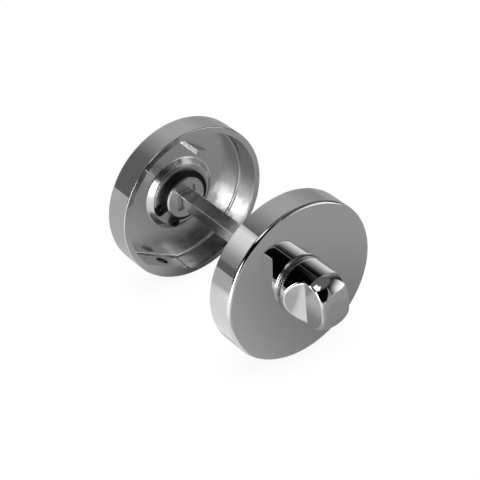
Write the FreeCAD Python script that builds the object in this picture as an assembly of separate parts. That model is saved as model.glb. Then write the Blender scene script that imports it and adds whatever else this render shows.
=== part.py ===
import FreeCAD, Part
import math
import os

# Bathroom turn and release set, in millimetres. The spindle lies along Y through the middle of the door,
# the thumb turn is at -Y, the coin release at +Y, and +Z is up.

# Door and spindle
door_thickness = 44.0
spindle_side = 5.0
spindle_edge_radius = 0.35
spindle_drive_length = 3.2

# Rose, one casting used on both sides
rose_diameter = 52.0
rose_depth = 9.2
rose_crown = 0.6
rose_wall = 2.0
rose_face_thickness = 0.9
rose_edge_radius = 1.1
rose_rim_radius = 0.3
rose_floor_radius = 0.8
screw_wall = 3.8
boss_height = 1.4
boss_margin = 0.5
boss_flare = 1.8
boss_edge_radius = 0.4
boss_foot_radius = 1.0
peg_width = 3.7
peg_thickness = 2.1
peg_height = 7.5
peg_radius = 16.5
peg_offset = -3.9
peg_edge_radius = 0.4
release_rose_clocking = 26.5

# Shank, washer and retaining ring, the same on both sides
shank_diameter = 14.0
shank_end_depth = 4.0
shank_edge_chamfer = 0.4
washer_thickness = 0.5
washer_width = 3.0
ring_thickness = 1.0
ring_groove_depth = 0.3
ring_width = 2.0
ring_taper = 0.3
ring_half_gap = 16.0
ring_ear_radius = 1.6
ring_ear_hole = 1.6
turn_ring_gap_angle = 90.0
release_ring_gap_angle = 222.0

# Thumb turn
knob_shoulder = 2.1
knob_length = 15.8
knob_end_radius = 6.0
knob_base_radius = 1.6
least_end_flat = 0.5
grip_thickness = 9.8
grip_start = 3.0
grip_crease = 7.7
grip_hollow = 0.35
grip_edge_radius = 0.9
grip_lean = 6.0
turn_socket_depth = 14.0
pin_diameter = 1.8
pin_length = 13.4
pin_chamfer = 0.2

# Coin release
button_length = 6.0
button_edge_radius = 1.5
coin_slot_width = 2.2
coin_slot_depth = 2.4
coin_radius = 9.0
socket_mouth_side = 7.4
socket_mouth_depth = 0.8
socket_depth = 7.4

# Grub screw
screw_diameter = 4.0
screw_recess = 0.3
screw_cone = 0.9
screw_hex = 2.0
screw_hex_depth = 1.6

# Clearances
bore_clearance = 0.05
washer_clearance = 0.3
end_float = 0.05
groove_clearance = 0.05
ring_clearance = 0.03
socket_clearance = 0.1
press_clearance = 0.02

# Places along a rose's own axis, measured outwards from its rim
rose_radius = rose_diameter / 2
shank_radius = shank_diameter / 2
floor_y = rose_depth - rose_face_thickness
boss_y = floor_y - boss_height
washer_y = boss_y - washer_thickness
ring_outer_y = washer_y - end_float
ring_inner_y = ring_outer_y - ring_thickness
crown_radius = (rose_radius ** 2 + rose_crown ** 2) / (2 * rose_crown)
crown_centre = rose_depth + rose_crown - crown_radius
bore_radius = shank_radius + bore_clearance
bore_crown_y = crown_centre + math.sqrt(crown_radius ** 2 - bore_radius ** 2)
base_y = bore_crown_y + end_float
washer_radius = shank_radius + washer_width
boss_radius = washer_radius + boss_margin
knob_radius = shank_radius + knob_shoulder
groove_radius = shank_radius - ring_groove_depth
screw_flat = rose_radius - screw_wall
screw_y = floor_y / 2
pin_y = (boss_y + rose_depth) / 2
past = 1.0
tolerance = 1e-4

ORIGIN = FreeCAD.Vector(0, 0, 0)
X_AXIS = FreeCAD.Vector(1, 0, 0)
Y_AXIS = FreeCAD.Vector(0, 1, 0)
Z_AXIS = FreeCAD.Vector(0, 0, 1)


def cylinder(radius, y_low, y_high):
    return Part.makeCylinder(radius, y_high - y_low, FreeCAD.Vector(0, y_low, 0), Y_AXIS)


def square_bar(side, y_low, y_high):
    corner = FreeCAD.Vector(-side / 2, y_low, -side / 2)
    return Part.makeBox(side, y_high - y_low, side, corner)


def circles_at(shape, y, radius):
    """Full or part circles of a given radius that lie in the plane at y."""
    found = []
    for edge in shape.Edges:
        curve = edge.Curve
        if isinstance(curve, Part.Circle) and abs(curve.Radius - radius) < tolerance:
            if abs(curve.Center.y - y) < tolerance and abs(abs(curve.Axis.y) - 1) < tolerance:
                found.append(edge)
    return found


def edges_in_plane(shape, y):
    flat = [edge for edge in shape.Edges if edge.BoundBox.YLength < tolerance]
    return [edge for edge in flat if abs(edge.BoundBox.YMin - y) < tolerance]


def make_rose():
    """The cup, open at its rim, with the flared boss, the peg and the thick flat for the grub screw."""
    middle = (bore_radius + rose_radius) / 2
    middle_y = crown_centre + math.sqrt(crown_radius ** 2 - middle ** 2)
    bore_rim, bore_face, face_middle, face_edge, wall_rim = [
        FreeCAD.Vector(x, y, 0) for x, y in (
            (bore_radius, 0), (bore_radius, bore_crown_y), (middle, middle_y),
            (rose_radius, rose_depth), (rose_radius, 0))]
    section = Part.Wire([
        Part.makeLine(bore_rim, bore_face),
        Part.Arc(bore_face, face_middle, face_edge).toShape(),
        Part.makeLine(face_edge, wall_rim),
        Part.makeLine(wall_rim, bore_rim),
    ])
    body = Part.Face(section).revolve(ORIGIN, Y_AXIS, 360)
    body = body.makeFillet(rose_edge_radius, circles_at(body, rose_depth, rose_radius))
    body = body.makeFillet(rose_rim_radius, circles_at(body, 0, rose_radius))
    cavity = cylinder(rose_radius - rose_wall, -past, floor_y)
    above_flat = Part.makeBox(
        2 * rose_diameter, rose_diameter, rose_diameter + screw_flat,
        FreeCAD.Vector(-rose_diameter, -rose_radius, -screw_flat))
    cavity = cavity.common(above_flat)
    cavity = cavity.makeFillet(rose_floor_radius, edges_in_plane(cavity, floor_y))
    peg = Part.makeBox(
        peg_width, peg_height + past, peg_thickness,
        FreeCAD.Vector(peg_offset - peg_width / 2, floor_y - peg_height, peg_radius - peg_thickness / 2))
    upright = [edge for edge in peg.Edges if edge.BoundBox.YLength > peg_height]
    peg = peg.makeFillet(peg_edge_radius, upright)
    peg = peg.common(cylinder(rose_radius, 0, rose_depth - rose_face_thickness / 2))
    boss_depth = boss_height + rose_face_thickness / 2
    boss = Part.makeCone(
        boss_radius, boss_radius + boss_flare * boss_depth / boss_height, boss_depth,
        FreeCAD.Vector(0, boss_y, 0), Y_AXIS)
    boss = boss.makeFillet(boss_edge_radius, circles_at(boss, boss_y, boss_radius))
    bore = cylinder(bore_radius, -past, rose_depth + rose_crown + past)
    screw_hole = Part.makeCylinder(
        screw_diameter / 2 + press_clearance, screw_wall + 2 * past,
        FreeCAD.Vector(0, screw_y, -screw_flat + past), -Z_AXIS)
    rose = body.cut(cavity).fuse([boss, peg]).removeSplitter()
    rose = rose.makeFillet(boss_foot_radius, circles_at(rose, floor_y, boss_radius + boss_flare))
    return rose.cut(bore).cut(screw_hole).removeSplitter()


def make_washer():
    hole = cylinder(shank_radius + washer_clearance, washer_y - past, boss_y + past)
    return cylinder(washer_radius, washer_y, boss_y).cut(hole)


def make_grub_screw():
    """A set screw along -Z: its cone points at the spindle and its hex socket opens outwards."""
    length = screw_wall - 2 * screw_recess
    start = FreeCAD.Vector(0, screw_y, -screw_flat - screw_recess)
    radius = screw_diameter / 2
    tip = Part.makeCone(radius - screw_cone, radius, screw_cone, start, -Z_AXIS)
    thread = Part.makeCylinder(radius, length - screw_cone, start - Z_AXIS * screw_cone, -Z_AXIS)
    mouth = start - Z_AXIS * (length + past)
    corner = screw_hex / math.sqrt(3)
    turns = [math.radians(60 * k) for k in range(7)]
    hexagon = [mouth + FreeCAD.Vector(corner * math.cos(a), corner * math.sin(a), 0) for a in turns]
    socket = Part.Face(Part.makePolygon(hexagon)).extrude(Z_AXIS * (screw_hex_depth + past))
    return tip.fuse(thread).cut(socket).removeSplitter()


def make_ring(gap_angle):
    """An external retaining ring with two eared ends, its gap at gap_angle from +X towards +Z."""
    inner = groove_radius + ring_clearance
    outer = inner + ring_width - ring_taper / 2
    ear_pitch = inner + ring_width - ring_taper + ring_ear_hole / 2
    ear_angle = ring_half_gap + math.degrees(math.asin(ring_ear_radius / ear_pitch))

    def disc(radius, x, z):
        return Part.makeCylinder(radius, ring_thickness, FreeCAD.Vector(x, ring_inner_y, z), Y_AXIS)

    def polar(radius, angle):
        return radius * math.cos(math.radians(angle)), radius * math.sin(math.radians(angle))

    ears = [disc(ring_ear_radius, *polar(ear_pitch, side * ear_angle)) for side in (-1, 1)]
    holes = [disc(ring_ear_hole / 2, *polar(ear_pitch, side * ear_angle)) for side in (-1, 1)]
    reach = 2 * (ear_pitch + ring_ear_radius)
    ends = [polar(reach, side * ring_half_gap) for side in (-1, 1)]
    corners = [FreeCAD.Vector(x, ring_inner_y - past, z) for x, z in ((0, 0), ends[0], ends[1], (0, 0))]
    gap = Part.Face(Part.makePolygon(corners)).extrude(Y_AXIS * (ring_thickness + 2 * past))
    ring = disc(outer, -ring_taper / 2, 0).fuse(ears)
    ring = ring.cut([disc(inner, 0, 0), gap] + holes).removeSplitter()
    ring.rotate(ORIGIN, Y_AXIS, -gap_angle)
    return ring


def make_shank():
    """The turned shank that both knobs have, with its groove for the retaining ring."""
    shank = cylinder(shank_radius, shank_end_depth, base_y + past)
    shank = shank.makeChamfer(shank_edge_chamfer, circles_at(shank, shank_end_depth, shank_radius))
    groove = cylinder(rose_radius, ring_inner_y - groove_clearance, ring_outer_y + groove_clearance)
    groove = groove.cut(cylinder(groove_radius, 0, rose_depth))
    return shank.cut(groove)


def make_head(length, end_radius):
    """A round head standing on the rose's face, with a round end and a softened base edge."""
    head = cylinder(knob_radius, base_y, base_y + length)
    end_radius = min(end_radius, knob_radius - least_end_flat)
    head = head.makeFillet(end_radius, circles_at(head, base_y + length, knob_radius))
    return head.makeFillet(knob_base_radius, circles_at(head, base_y, knob_radius))


def grip_cutter(side):
    """One finger cut-out: a hollow shoulder that runs in to a crease, then a flat out to the end."""
    flat_x = grip_thickness / 2
    outer_x = knob_radius + past
    start_y = base_y + grip_start - past * (grip_crease - grip_start) / (knob_radius - flat_x)
    crease_y = base_y + grip_crease
    end_y = base_y + knob_length + past
    slope = math.hypot(outer_x - flat_x, crease_y - start_y)
    middle = FreeCAD.Vector(
        side * ((flat_x + outer_x) / 2 - grip_hollow * (crease_y - start_y) / slope),
        (start_y + crease_y) / 2 - grip_hollow * (outer_x - flat_x) / slope, 0)
    crease = FreeCAD.Vector(side * flat_x, crease_y, 0)
    start = FreeCAD.Vector(side * outer_x, start_y, 0)
    end_in = FreeCAD.Vector(side * flat_x, end_y, 0)
    end_out = FreeCAD.Vector(side * outer_x, end_y, 0)
    outline = Part.Wire([
        Part.Arc(start, middle, crease).toShape(),
        Part.makeLine(crease, end_in),
        Part.makeLine(end_in, end_out),
        Part.makeLine(end_out, start),
    ])
    cutter = Part.Face(outline).extrude(Z_AXIS * 2 * outer_x)
    cutter.translate(Z_AXIS * -outer_x)
    return cutter


def grip_edges(head):
    """The outlines of the finger cut-outs, without the two creases."""
    def on_cut(face):
        if isinstance(face.Surface, Part.Plane):
            return abs(abs(face.Surface.Axis.x) - 1) < tolerance
        return isinstance(face.Surface, Part.Cylinder) and abs(abs(face.Surface.Axis.z) - 1) < tolerance

    picked = []
    for edge in head.Edges:
        sides = [on_cut(face) for face in head.ancestorsOfType(edge, Part.Face)]
        if sides.count(True) == 1:
            picked.append(edge)
    return picked


def make_thumb_turn():
    head = make_head(knob_length, knob_end_radius)
    head = head.cut([grip_cutter(-1), grip_cutter(1)])
    head = head.makeFillet(grip_edge_radius, grip_edges(head))
    socket = square_bar(
        spindle_side + 2 * press_clearance, shank_end_depth - past, shank_end_depth + turn_socket_depth)
    pin_hole = make_pin(press_clearance, past)
    return head.fuse(make_shank()).cut([socket, pin_hole]).removeSplitter()


def make_pin(clearance, extra_length):
    half = pin_length / 2 + extra_length
    return Part.makeCylinder(
        pin_diameter / 2 + clearance, 2 * half, FreeCAD.Vector(-half, pin_y, 0), X_AXIS)


def make_release_button():
    head = make_head(button_length, button_edge_radius)
    coin_centre = base_y + button_length - coin_slot_depth + coin_radius
    coin = Part.makeCylinder(
        coin_radius, coin_slot_width, FreeCAD.Vector(-coin_slot_width / 2, coin_centre, 0), X_AXIS)
    mouth = square_bar(socket_mouth_side, shank_end_depth - past, shank_end_depth + socket_mouth_depth)
    socket = square_bar(
        spindle_side + 2 * socket_clearance, shank_end_depth, shank_end_depth + socket_depth)
    return head.fuse(make_shank()).cut([coin, mouth, socket]).removeSplitter()


def make_spindle():
    """The square bar, in the frame of the whole set, from the knob's socket into the release's."""
    turn_end = -door_thickness / 2 - shank_end_depth - turn_socket_depth
    release_end = door_thickness / 2 + shank_end_depth + socket_mouth_depth + spindle_drive_length
    bar = square_bar(spindle_side, turn_end, release_end)
    long_edges = [edge for edge in bar.Edges if edge.BoundBox.YLength > spindle_side]
    bar = bar.makeFillet(spindle_edge_radius, long_edges + edges_in_plane(bar, release_end))
    return bar.cut(on_turn_side(make_pin(press_clearance, past)))


def on_turn_side(shape):
    placed = shape.copy()
    placed.rotate(ORIGIN, Z_AXIS, 180)
    placed.translate(Y_AXIS * -door_thickness / 2)
    return placed


def on_release_side(shape, clocking=0.0):
    placed = shape.copy()
    placed.rotate(ORIGIN, Y_AXIS, clocking)
    placed.translate(Y_AXIS * door_thickness / 2)
    return placed


def turned(shape):
    """The finger grip leans a little from upright, and the spindle and the release with it."""
    placed = shape.copy()
    placed.rotate(ORIGIN, Y_AXIS, -grip_lean)
    return placed


pin = make_pin(0, 0)
pin_ends = [edge for edge in pin.Edges if isinstance(edge.Curve, Part.Circle)]

nodes = {
    "turn_rose": on_turn_side(make_rose()),
    "turn_washer": on_turn_side(make_washer()),
    "turn_grub_screw": on_turn_side(make_grub_screw()),
    "thumb_turn": turned(on_turn_side(make_thumb_turn())),
    "turn_circlip": on_turn_side(make_ring(turn_ring_gap_angle)),
    "spindle": turned(make_spindle()),
    "spindle_pin": turned(on_turn_side(pin.makeChamfer(pin_chamfer, pin_ends))),
    "release_rose": on_release_side(make_rose(), release_rose_clocking),
    "release_washer": on_release_side(make_washer()),
    "release_grub_screw": on_release_side(make_grub_screw(), release_rose_clocking),
    "release_button": turned(on_release_side(make_release_button())),
    "release_circlip": on_release_side(make_ring(release_ring_gap_angle)),
}

os.makedirs("parts", exist_ok=True)
for name, shape in nodes.items():
    shape.Solids[0].exportStep(f"parts/{name}.step")
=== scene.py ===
import math

import bpy
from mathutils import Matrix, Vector


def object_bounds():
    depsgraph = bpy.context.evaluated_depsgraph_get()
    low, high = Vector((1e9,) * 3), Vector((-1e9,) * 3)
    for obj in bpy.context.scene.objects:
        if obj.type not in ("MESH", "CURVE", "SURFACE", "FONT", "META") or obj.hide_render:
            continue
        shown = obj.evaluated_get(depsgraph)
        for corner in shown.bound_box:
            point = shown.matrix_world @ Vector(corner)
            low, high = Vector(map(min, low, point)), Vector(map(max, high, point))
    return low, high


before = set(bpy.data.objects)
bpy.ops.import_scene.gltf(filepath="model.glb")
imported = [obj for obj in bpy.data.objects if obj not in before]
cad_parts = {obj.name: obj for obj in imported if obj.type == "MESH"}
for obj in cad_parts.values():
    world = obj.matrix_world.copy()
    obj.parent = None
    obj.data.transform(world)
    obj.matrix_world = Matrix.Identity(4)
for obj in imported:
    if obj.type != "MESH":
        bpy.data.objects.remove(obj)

cad_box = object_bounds()


# The two roses: die-cast zinc cups, polished and chromed until the outside is a mirror. The inside keeps the
# satin skin of the casting under a thin plate, because the door hides it.
class Wire:
    """One output of a shader node. Python's arithmetic on it adds Math nodes."""

    def __init__(self, tree, socket=None):
        self.tree = tree
        self.socket = socket

    def node(self, kind, settings, inputs, output=0):
        """Adds a node: first its settings, then a value or another Wire for each named input."""
        made = self.tree.nodes.new("ShaderNode" + kind)
        for name, value in settings.items():
            if name == "stops":
                marks = made.color_ramp.elements
                while len(marks) < len(value):
                    marks.new(1.0)
                for mark, (place, painted_shadow) in zip(marks, value):
                    mark.position = place
                    mark.color = (painted_shadow, painted_shadow, painted_shadow, 1.0)
            else:
                setattr(made, name, value)
        for name, value in inputs.items():
            if isinstance(value, Wire):
                self.tree.links.new(value.socket, made.inputs[name])
            else:
                made.inputs[name].default_value = value
        return Wire(self.tree, made.outputs[output] if made.outputs else None)

    def other(self, output):
        return Wire(self.tree, self.socket.node.outputs[output])

    def maths(self, operation, first, second=0.0):
        return self.node("Math", {"operation": operation}, {0: first, 1: second})

    def __add__(self, value):
        return self.maths("ADD", self, value)

    def __sub__(self, value):
        return self.maths("SUBTRACT", self, value)

    def __rsub__(self, value):
        return self.maths("SUBTRACT", value, self)

    def __mul__(self, value):
        return self.maths("MULTIPLY", self, value)

    def __pow__(self, value):
        return self.maths("POWER", self, value)

    __radd__ = __add__
    __rmul__ = __mul__

    def rises(self, low, high):
        """0 below low and 1 above high, with a smooth step between them."""
        step = {"Value": self, "From Min": low, "From Max": high}
        return self.node("MapRange", {"interpolation_type": "SMOOTHSTEP"}, step)

    def ramp(self, *stops):
        return self.node("ValToRGB", {"stops": stops}, {0: self})


def new_finish(name):
    finish = bpy.data.materials.new(name)
    finish.use_nodes = True
    finish.node_tree.nodes.clear()
    return finish, Wire(finish.node_tree)


def metal(start, colour, roughness, height, depth):
    """A bare or plated metal: its colour, how rough it is, and its fine relief of a given depth."""
    relief = start.node("Bump", {}, {"Strength": 1.0, "Distance": depth, "Height": height})
    shader = start.node("BsdfPrincipled", {}, {
        "Base Color": colour, "Metallic": 1.0, "Roughness": roughness, "Normal": relief})
    start.node("OutputMaterial", {}, {"Surface": shader})


def coat(finish, *nodes):
    for node in nodes:
        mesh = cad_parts[node].data
        mesh.materials.clear()
        mesh.materials.append(finish)


rose_wall_inside = 0.0246
rose_floor_back = 0.0304
rose_rim = 0.0220
wall_fade = 0.0002
rim_fade = 0.001
boss_foot = 0.0123
flank_start, flank_end = boss_foot + 0.001, boss_foot + 0.003
skin_grain, skin_depth = 320.0, 0.00007
satin_least, satin_skin, satin_flank = 0.07, 0.22, 0.03
chrome_shade, chrome_haze = 0.60, 0.04
polish_least, polish_haze = 0.015, 0.03
haze_grain = 90.0

rose_finish, start = new_finish("rose_plate")
place = start.node("TexCoord", {}, {}, "Object")
along_x = start.node("SeparateXYZ", {}, {0: place})
along_y, along_z = along_x.other(1), along_x.other(2)
from_axis = (along_x * along_x + along_z * along_z) ** 0.5
from_door = start.maths("ABSOLUTE", along_y)
in_wall = 1 - from_axis.rises(rose_wall_inside, rose_wall_inside + wall_fade)
on_floor = 1 - from_door.rises(rose_floor_back, rose_floor_back + wall_fade)
inside = in_wall * on_floor * from_door.rises(rose_rim, rose_rim + rim_fade)
flank = inside * (1 - from_axis.rises(flank_start, flank_end))
haze = start.node("TexNoise", {}, {"Vector": place, "Scale": haze_grain, "Detail": 4.0})
skin = start.node("TexNoise", {}, {"Vector": place, "Scale": skin_grain, "Detail": 5.0, "Roughness": 0.55})
satin = inside * (satin_least + skin * satin_skin) + flank * satin_flank
polish = polish_least + haze * polish_haze
metal(start, chrome_shade + haze * chrome_haze, polish + satin, skin * inside, skin_depth)
coat(rose_finish, "turn_rose", "release_rose")


# The thrust washers: stamped from zinc-plated steel strip. Each lies flat between the boss of its rose and the
# retaining ring, and takes the rub of the turning shank.
washer_grain, washer_relief = 700.0, 0.00002
washer_shade, washer_blotch = 0.50, 0.10
washer_least_rough, washer_more_rough = 0.25, 0.2

washer_finish, start = new_finish("washer_zinc")
place = start.node("TexCoord", {}, {}, "Object")
blotch = start.node("TexNoise", {}, {"Vector": place, "Scale": washer_grain, "Detail": 4.0})
metal(
    start, washer_shade + blotch * washer_blotch, washer_least_rough + blotch * washer_more_rough,
    blotch, washer_relief)
coat(washer_finish, "turn_washer", "release_washer")


# The grub screws: blackened steel set screws with a hexagon socket. Each is screwed through the thick flat of
# its rose, and clamps the rose to its base plate.
screw_grain, screw_relief = 1500.0, 0.00002
screw_shade, screw_oxide = 0.04, 0.04
screw_least_rough, screw_more_rough = 0.3, 0.2

screw_finish, start = new_finish("screw_black")
place = start.node("TexCoord", {}, {}, "Object")
oxide = start.node("TexNoise", {}, {"Vector": place, "Scale": screw_grain, "Detail": 4.0})
metal(
    start, screw_shade + oxide * screw_oxide, screw_least_rough + oxide * screw_more_rough,
    oxide, screw_relief)
coat(screw_finish, "turn_grub_screw", "release_grub_screw")


# The thumb turn and the coin release: zinc castings, polished and chromed, each turned in one piece with the
# shank that runs in the rose. A narrow band at the foot stays satin.
knob_foot = 0.0318
foot_height = 0.0018
foot_satin = 0.25
knob_ripple = 0.000002

knob_finish, start = new_finish("knob_plate")
place = start.node("TexCoord", {}, {}, "Object")
from_door = start.maths("ABSOLUTE", start.node("SeparateXYZ", {}, {0: place}).other(1))
foot = 1 - from_door.rises(knob_foot + 0.5 * foot_height, knob_foot + foot_height)
haze = start.node("TexNoise", {}, {"Vector": place, "Scale": haze_grain, "Detail": 4.0})
polish = polish_least + haze * polish_haze
metal(start, chrome_shade + haze * chrome_haze, polish + foot * foot_satin, haze, knob_ripple)
coat(knob_finish, "thumb_turn", "release_button")


# The retaining rings: stamped from spring steel with a black phosphate skin. Each is sprung into the groove
# of a shank, and holds it in its rose.
ring_grain, ring_relief = 2500.0, 0.00002
ring_shade, ring_phosphate = 0.02, 0.02
ring_least_rough, ring_more_rough = 0.35, 0.2

ring_finish, start = new_finish("ring_black")
place = start.node("TexCoord", {}, {}, "Object")
grain = start.node("TexNoise", {}, {"Vector": place, "Scale": ring_grain, "Detail": 4.0})
metal(
    start, ring_shade + grain * ring_phosphate, ring_least_rough + grain * ring_more_rough,
    grain, ring_relief)
coat(ring_finish, "turn_circlip", "release_circlip")


# The spindle and its cross pin: square steel bar, drawn and plated, pressed into the thumb turn. The plate is
# speckled, and a painted highlight lightens its colour along the bar's edges.
spindle_lean = math.radians(6.0)
spindle_flat = 0.0025
edge_start, edge_end = spindle_flat - 0.0005, spindle_flat - 0.0001
drawn_stretch = (1.0, 0.5, 1.0)
speckle_grain, speckle_relief = 2000.0, 0.000008
spindle_shade, spindle_speckle, spindle_edge_highlight = 0.55, 0.32, 0.4
spindle_least_rough, spindle_more_rough = 0.16, 0.12

spindle_finish, start = new_finish("spindle_plate")
place = start.node("TexCoord", {}, {}, "Object")
upright = start.node("VectorRotate", {"rotation_type": "Y_AXIS"}, {"Vector": place, "Angle": spindle_lean})
along_x = start.node("SeparateXYZ", {}, {0: upright})
# Painted highlight: the colour is lighter within half a millimetre of the bar's edges.
edge_highlight = 1.0
for side in (along_x, along_x.other(2)):
    edge_highlight = edge_highlight * start.maths("ABSOLUTE", side).rises(edge_start, edge_end)
stretched = start.node("Mapping", {}, {"Vector": place, "Scale": drawn_stretch})
speckle = start.node("TexNoise", {}, {"Vector": stretched, "Scale": speckle_grain, "Detail": 3.0})
bright = speckle.rises(0.50, 0.80)
metal(
    start, spindle_shade + bright * spindle_speckle + edge_highlight * spindle_edge_highlight,
    spindle_least_rough + speckle * spindle_more_rough, speckle, speckle_relief)
coat(spindle_finish, "spindle", "spindle_pin")


# The studio: a pale floor with a painted pool of light on the left and painted shade round the lock, three
# cards of light round the lock, and a grey glow on the far side, for the chrome to reflect. It is dark behind
# the camera, and the camera itself sees white all round.
def shown_white(start, glow, output, seen_glow=1.0):
    """White for the camera and the given glow for every other ray."""
    seen = start.node("LightPath", {}, {}, "Is Camera Ray")
    kind = "Background" if output == "OutputWorld" else "Emission"
    bright = start.node(kind, {}, {"Color": (1.0, 1.0, 1.0, 1.0), "Strength": seen_glow})
    lit = start.node(kind, {}, {"Color": (1.0, 1.0, 1.0, 1.0), "Strength": glow})
    mixed = start.node("MixShader", {}, {0: seen, 1: lit, 2: bright})
    start.node(output, {}, {"Surface": mixed})


def flat_sheet(name, centre, across, up, finish):
    """A flat sheet from its centre and its two half sides, which isn't part of the lock."""
    corners = [centre + i * across + j * up for i, j in ((-1, -1), (1, -1), (1, 1), (-1, 1))]
    mesh = bpy.data.meshes.new(name)
    mesh.from_pydata(corners, [], [(0, 1, 2, 3)])
    mesh.materials.append(finish)
    sheet = bpy.data.objects.new(name, mesh)
    bpy.context.scene.collection.objects.link(sheet)
    return sheet


floor_half_side = 3
floor_near, floor_far, floor_left = 0.30, 0.43, 0.15
lock_x, lock_y = 0.022, -0.025
lock_stretch = 0.7
lock_fade = (0.012, 0.055)
left_fade = (-0.030, 0.015)
pool_glow = 1.35
pool_x, pool_y = -0.100, -0.060
pool_reach = 0.12
pool_stretch = 0.6
side_glow = 0.98
side_front, side_back, side_right = (-0.0525, -0.0455), (0.020, 0.050), (-0.022, -0.012)
shade_x, shade_y = 0.006, 0.0266
shade_fade_x, shade_fade_y = (0.006, 0.026), (0.005, 0.018)
shade_share = 0.75
contact_share, contact_reach = 0.10, 0.010

floor_finish, start = new_finish("floor_pale")
place = start.node("TexCoord", {}, {}, "Object")
along_x = start.node("SeparateXYZ", {}, {0: place})
along_y = along_x.other(1)
# Painted shade and light: the floor's glow is darker near the lock and brighter on the left.
off_x = along_x - lock_x
off_y = (along_y - lock_y) * lock_stretch
away = ((off_x * off_x + off_y * off_y) ** 0.5).rises(*lock_fade)
plain = floor_near + away * (floor_far - floor_near) + (1 - along_x.rises(*left_fade)) * floor_left
# A painted pool of light on the floor, to the left of the lock.
off_x = along_x - pool_x
off_y = (along_y - pool_y) * pool_stretch
from_pool = (off_x * off_x + off_y * off_y) ** 0.5 * (1 / pool_reach)
pool = from_pool.ramp(
    (0.33, 1.0), (0.42, 0.9), (0.50, 0.62), (0.58, 0.42), (0.68, 0.34), (0.78, 0.2))
# Painted light: a bright band on the floor to the left of the lock.
painted_side_light = along_y.rises(*side_front) * (1 - along_y.rises(*side_back)) * (1 - along_x.rises(*side_right))
# A painted shadow on the floor under the rear rose.
painted_shadow = 1 - start.maths("ABSOLUTE", along_y - shade_y).rises(*shade_fade_y)
painted_shadow = painted_shadow * (1 - start.maths("ABSOLUTE", along_x - shade_x).rises(*shade_fade_x))
glow = start.maths("MAXIMUM", start.maths("MAXIMUM", pool * pool_glow, painted_side_light * side_glow), plain)
# A contact shadow from ambient occlusion, darkening the camera's white floor a little near the lock.
open_sky = start.node("AmbientOcclusion", {"samples": 8}, {"Distance": contact_reach}, "AO")
shown_white(start, glow * (1 - painted_shadow * shade_share), "OutputMaterial", 1 - (1 - open_sky) * contact_share)
floor_height = cad_box[0].z
flat_sheet(
    "floor", Vector((0, 0, floor_height)), Vector((floor_half_side, 0, 0)), Vector((0, floor_half_side, 0)),
    floor_finish)


def light_card(name, centre, across, up, glow, fade_across, fade_up):
    """A sheet of light from its centre and half sides, added to what is behind it. The camera sees past it."""
    finish, start = new_finish(name)
    place = start.node("TexCoord", {}, {}, "Object")
    lit = glow
    for side, fade in ((across, fade_across), (up, fade_up)):
        along = start.node("VectorMath", {"operation": "DOT_PRODUCT"}, {0: place, 1: side}, "Value")
        lit = lit * ((along - centre.dot(side)) * (0.5 / side.length_squared) + 0.5).ramp(*fade)
    shine = start.node("Emission", {}, {"Strength": lit})
    clear = start.node("BsdfTransparent", {}, {})
    start.node("OutputMaterial", {}, {"Surface": start.node("AddShader", {}, {0: clear, 1: shine})})
    flat_sheet(name, centre, across, up, finish).visible_camera = False


light_card(
    "upper_left",
    centre=Vector((-0.139, 0.1056, 0.1078)),
    across=0.076 * Vector((-0.602, 0.0, -0.799)),
    up=0.021 * Vector((-0.530, -0.750, 0.399)),
    glow=0.95,
    fade_across=((0.0, 0.6), (0.15, 1.0), (0.40, 0.85), (0.75, 0.3), (1.0, 0.1)),
    fade_up=((0.0, 1.0), (1.0, 1.0)))
light_card(
    "low_left",
    centre=Vector((-0.062, -0.050, 0.013)),
    across=0.009 * Vector((0.68, -0.73, 0.0)),
    up=Vector((0.0, 0.0, 0.027)),
    glow=10.0,
    fade_across=((0.0, 0.2), (0.2, 1.0), (0.8, 1.0), (1.0, 0.2)),
    fade_up=((0.0, 0.6), (0.11, 0.75), (0.35, 1.0), (0.59, 0.8), (0.81, 0.4), (1.0, 0.0)))
box_across, box_up = Vector((0.574, 0.819, 0.0)), Vector((-0.280, 0.196, 0.940))
light_card(
    "soft_box",
    centre=Vector((0.156, -0.1538, 0.0714)) - 0.030 * box_across + 0.0555 * box_up,
    across=0.145 * box_across,
    up=0.1005 * box_up,
    glow=1.6,
    fade_across=(
        (0.0, 0.0), (0.12, 0.09), (0.22, 0.32), (0.37, 0.77), (0.49, 1.0), (0.84, 1.0), (0.93, 0.1),
        (1.0, 0.0)),
    fade_up=(
        (0.0, 0.0), (0.04, 1.0), (0.22, 0.92), (0.35, 0.75), (0.49, 0.5), (0.65, 0.25), (0.80, 0.08),
        (1.0, 0.0)))


def angles(low, high):
    return math.radians(low), math.radians(high)


behind_least = 0.01
behind_fade = (-0.1, 0.6)
strip_lean_left, strip_lean_right = 0.10, 0.13
strip_glow, skirt_glow, over_glow, high_glow = 0.33, 0.5, 1.5, 0.16

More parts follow.
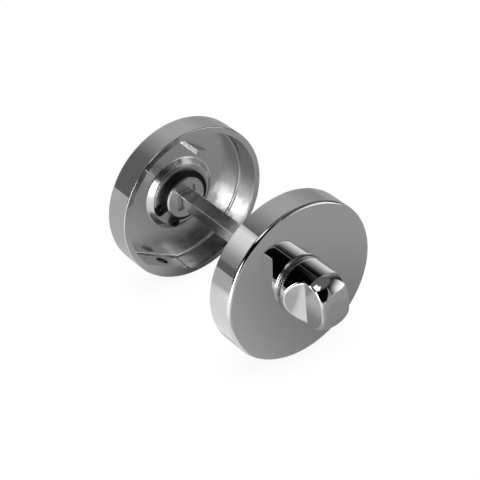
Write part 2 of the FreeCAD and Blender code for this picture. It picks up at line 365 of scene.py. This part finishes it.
studio = bpy.data.worlds.new("studio")
bpy.context.scene.world = studio
studio.use_nodes = True
studio.node_tree.nodes.clear()
start = Wire(studio.node_tree)
toward = start.node("TexCoord", {}, {}, "Generated")
toward_x = start.node("SeparateXYZ", {}, {0: toward})
toward_y, toward_z = toward_x.other(1), toward_x.other(2)
round_way = start.maths("ARCTAN2", toward_x, 0 - toward_y)
height = start.maths("ARCSINE", toward_z)
behind = (toward_x * 0.5 + 0.5).ramp(
    (0.0, 0.13), (0.125, 0.16), (0.325, 0.17), (0.54, 0.49), (0.60, 0.54), (0.75, 0.54), (0.875, 0.36),
    (1.0, 0.28))
behind = behind * (behind_least + (1 - behind_least) * toward_y.rises(*behind_fade))
behind = behind * (1 - height.rises(*angles(50, 62)))
strip = (round_way - height * strip_lean_left).rises(*angles(3, 5))
strip = strip * (1 - (round_way + height * strip_lean_right).rises(*angles(17, 19)))
strip = strip * (1 - height.rises(*angles(50, 70)))
skirt = round_way.rises(*angles(3, 5)) * (1 - round_way.rises(*angles(85, 120)))
skirt = skirt * (1 - height.rises(*angles(7, 9.5)))
low_side = start.maths("MAXIMUM", strip * strip_glow, skirt * skirt_glow)
over = round_way.rises(*angles(-125, -112)) * (1 - round_way.rises(*angles(-46, -32)))
over = over * height.rises(*angles(52, 56)) * (1 - height.rises(*angles(69, 76)))
high = height.rises(*angles(52, 64))
shown_white(start, behind + low_side + over * over_glow + high * high_glow, "OutputWorld")


# The camera stands where the photograph was taken from, above and to the left of the thumb turn, with a long
# lens.
aim = Vector((0.00765, 0.00826, -0.00948))
azimuth = math.radians(-36.95)
elevation = math.radians(33.965)
distance = 0.48376
back = Vector((
    math.sin(azimuth) * math.cos(elevation), -math.cos(azimuth) * math.cos(elevation), math.sin(elevation)))
lens = bpy.data.cameras.new("camera")
lens.sensor_width = 36.0
lens.lens = 116.28
lens.clip_start = 0.01
lens.clip_end = 50.0
camera = bpy.data.objects.new("camera", lens)
camera.location = aim + back * distance
camera.rotation_euler = (-back).to_track_quat("-Z", "Y").to_euler()
bpy.context.scene.collection.objects.link(camera)
bpy.context.scene.camera = camera
bpy.context.scene.view_settings.view_transform = "Standard"
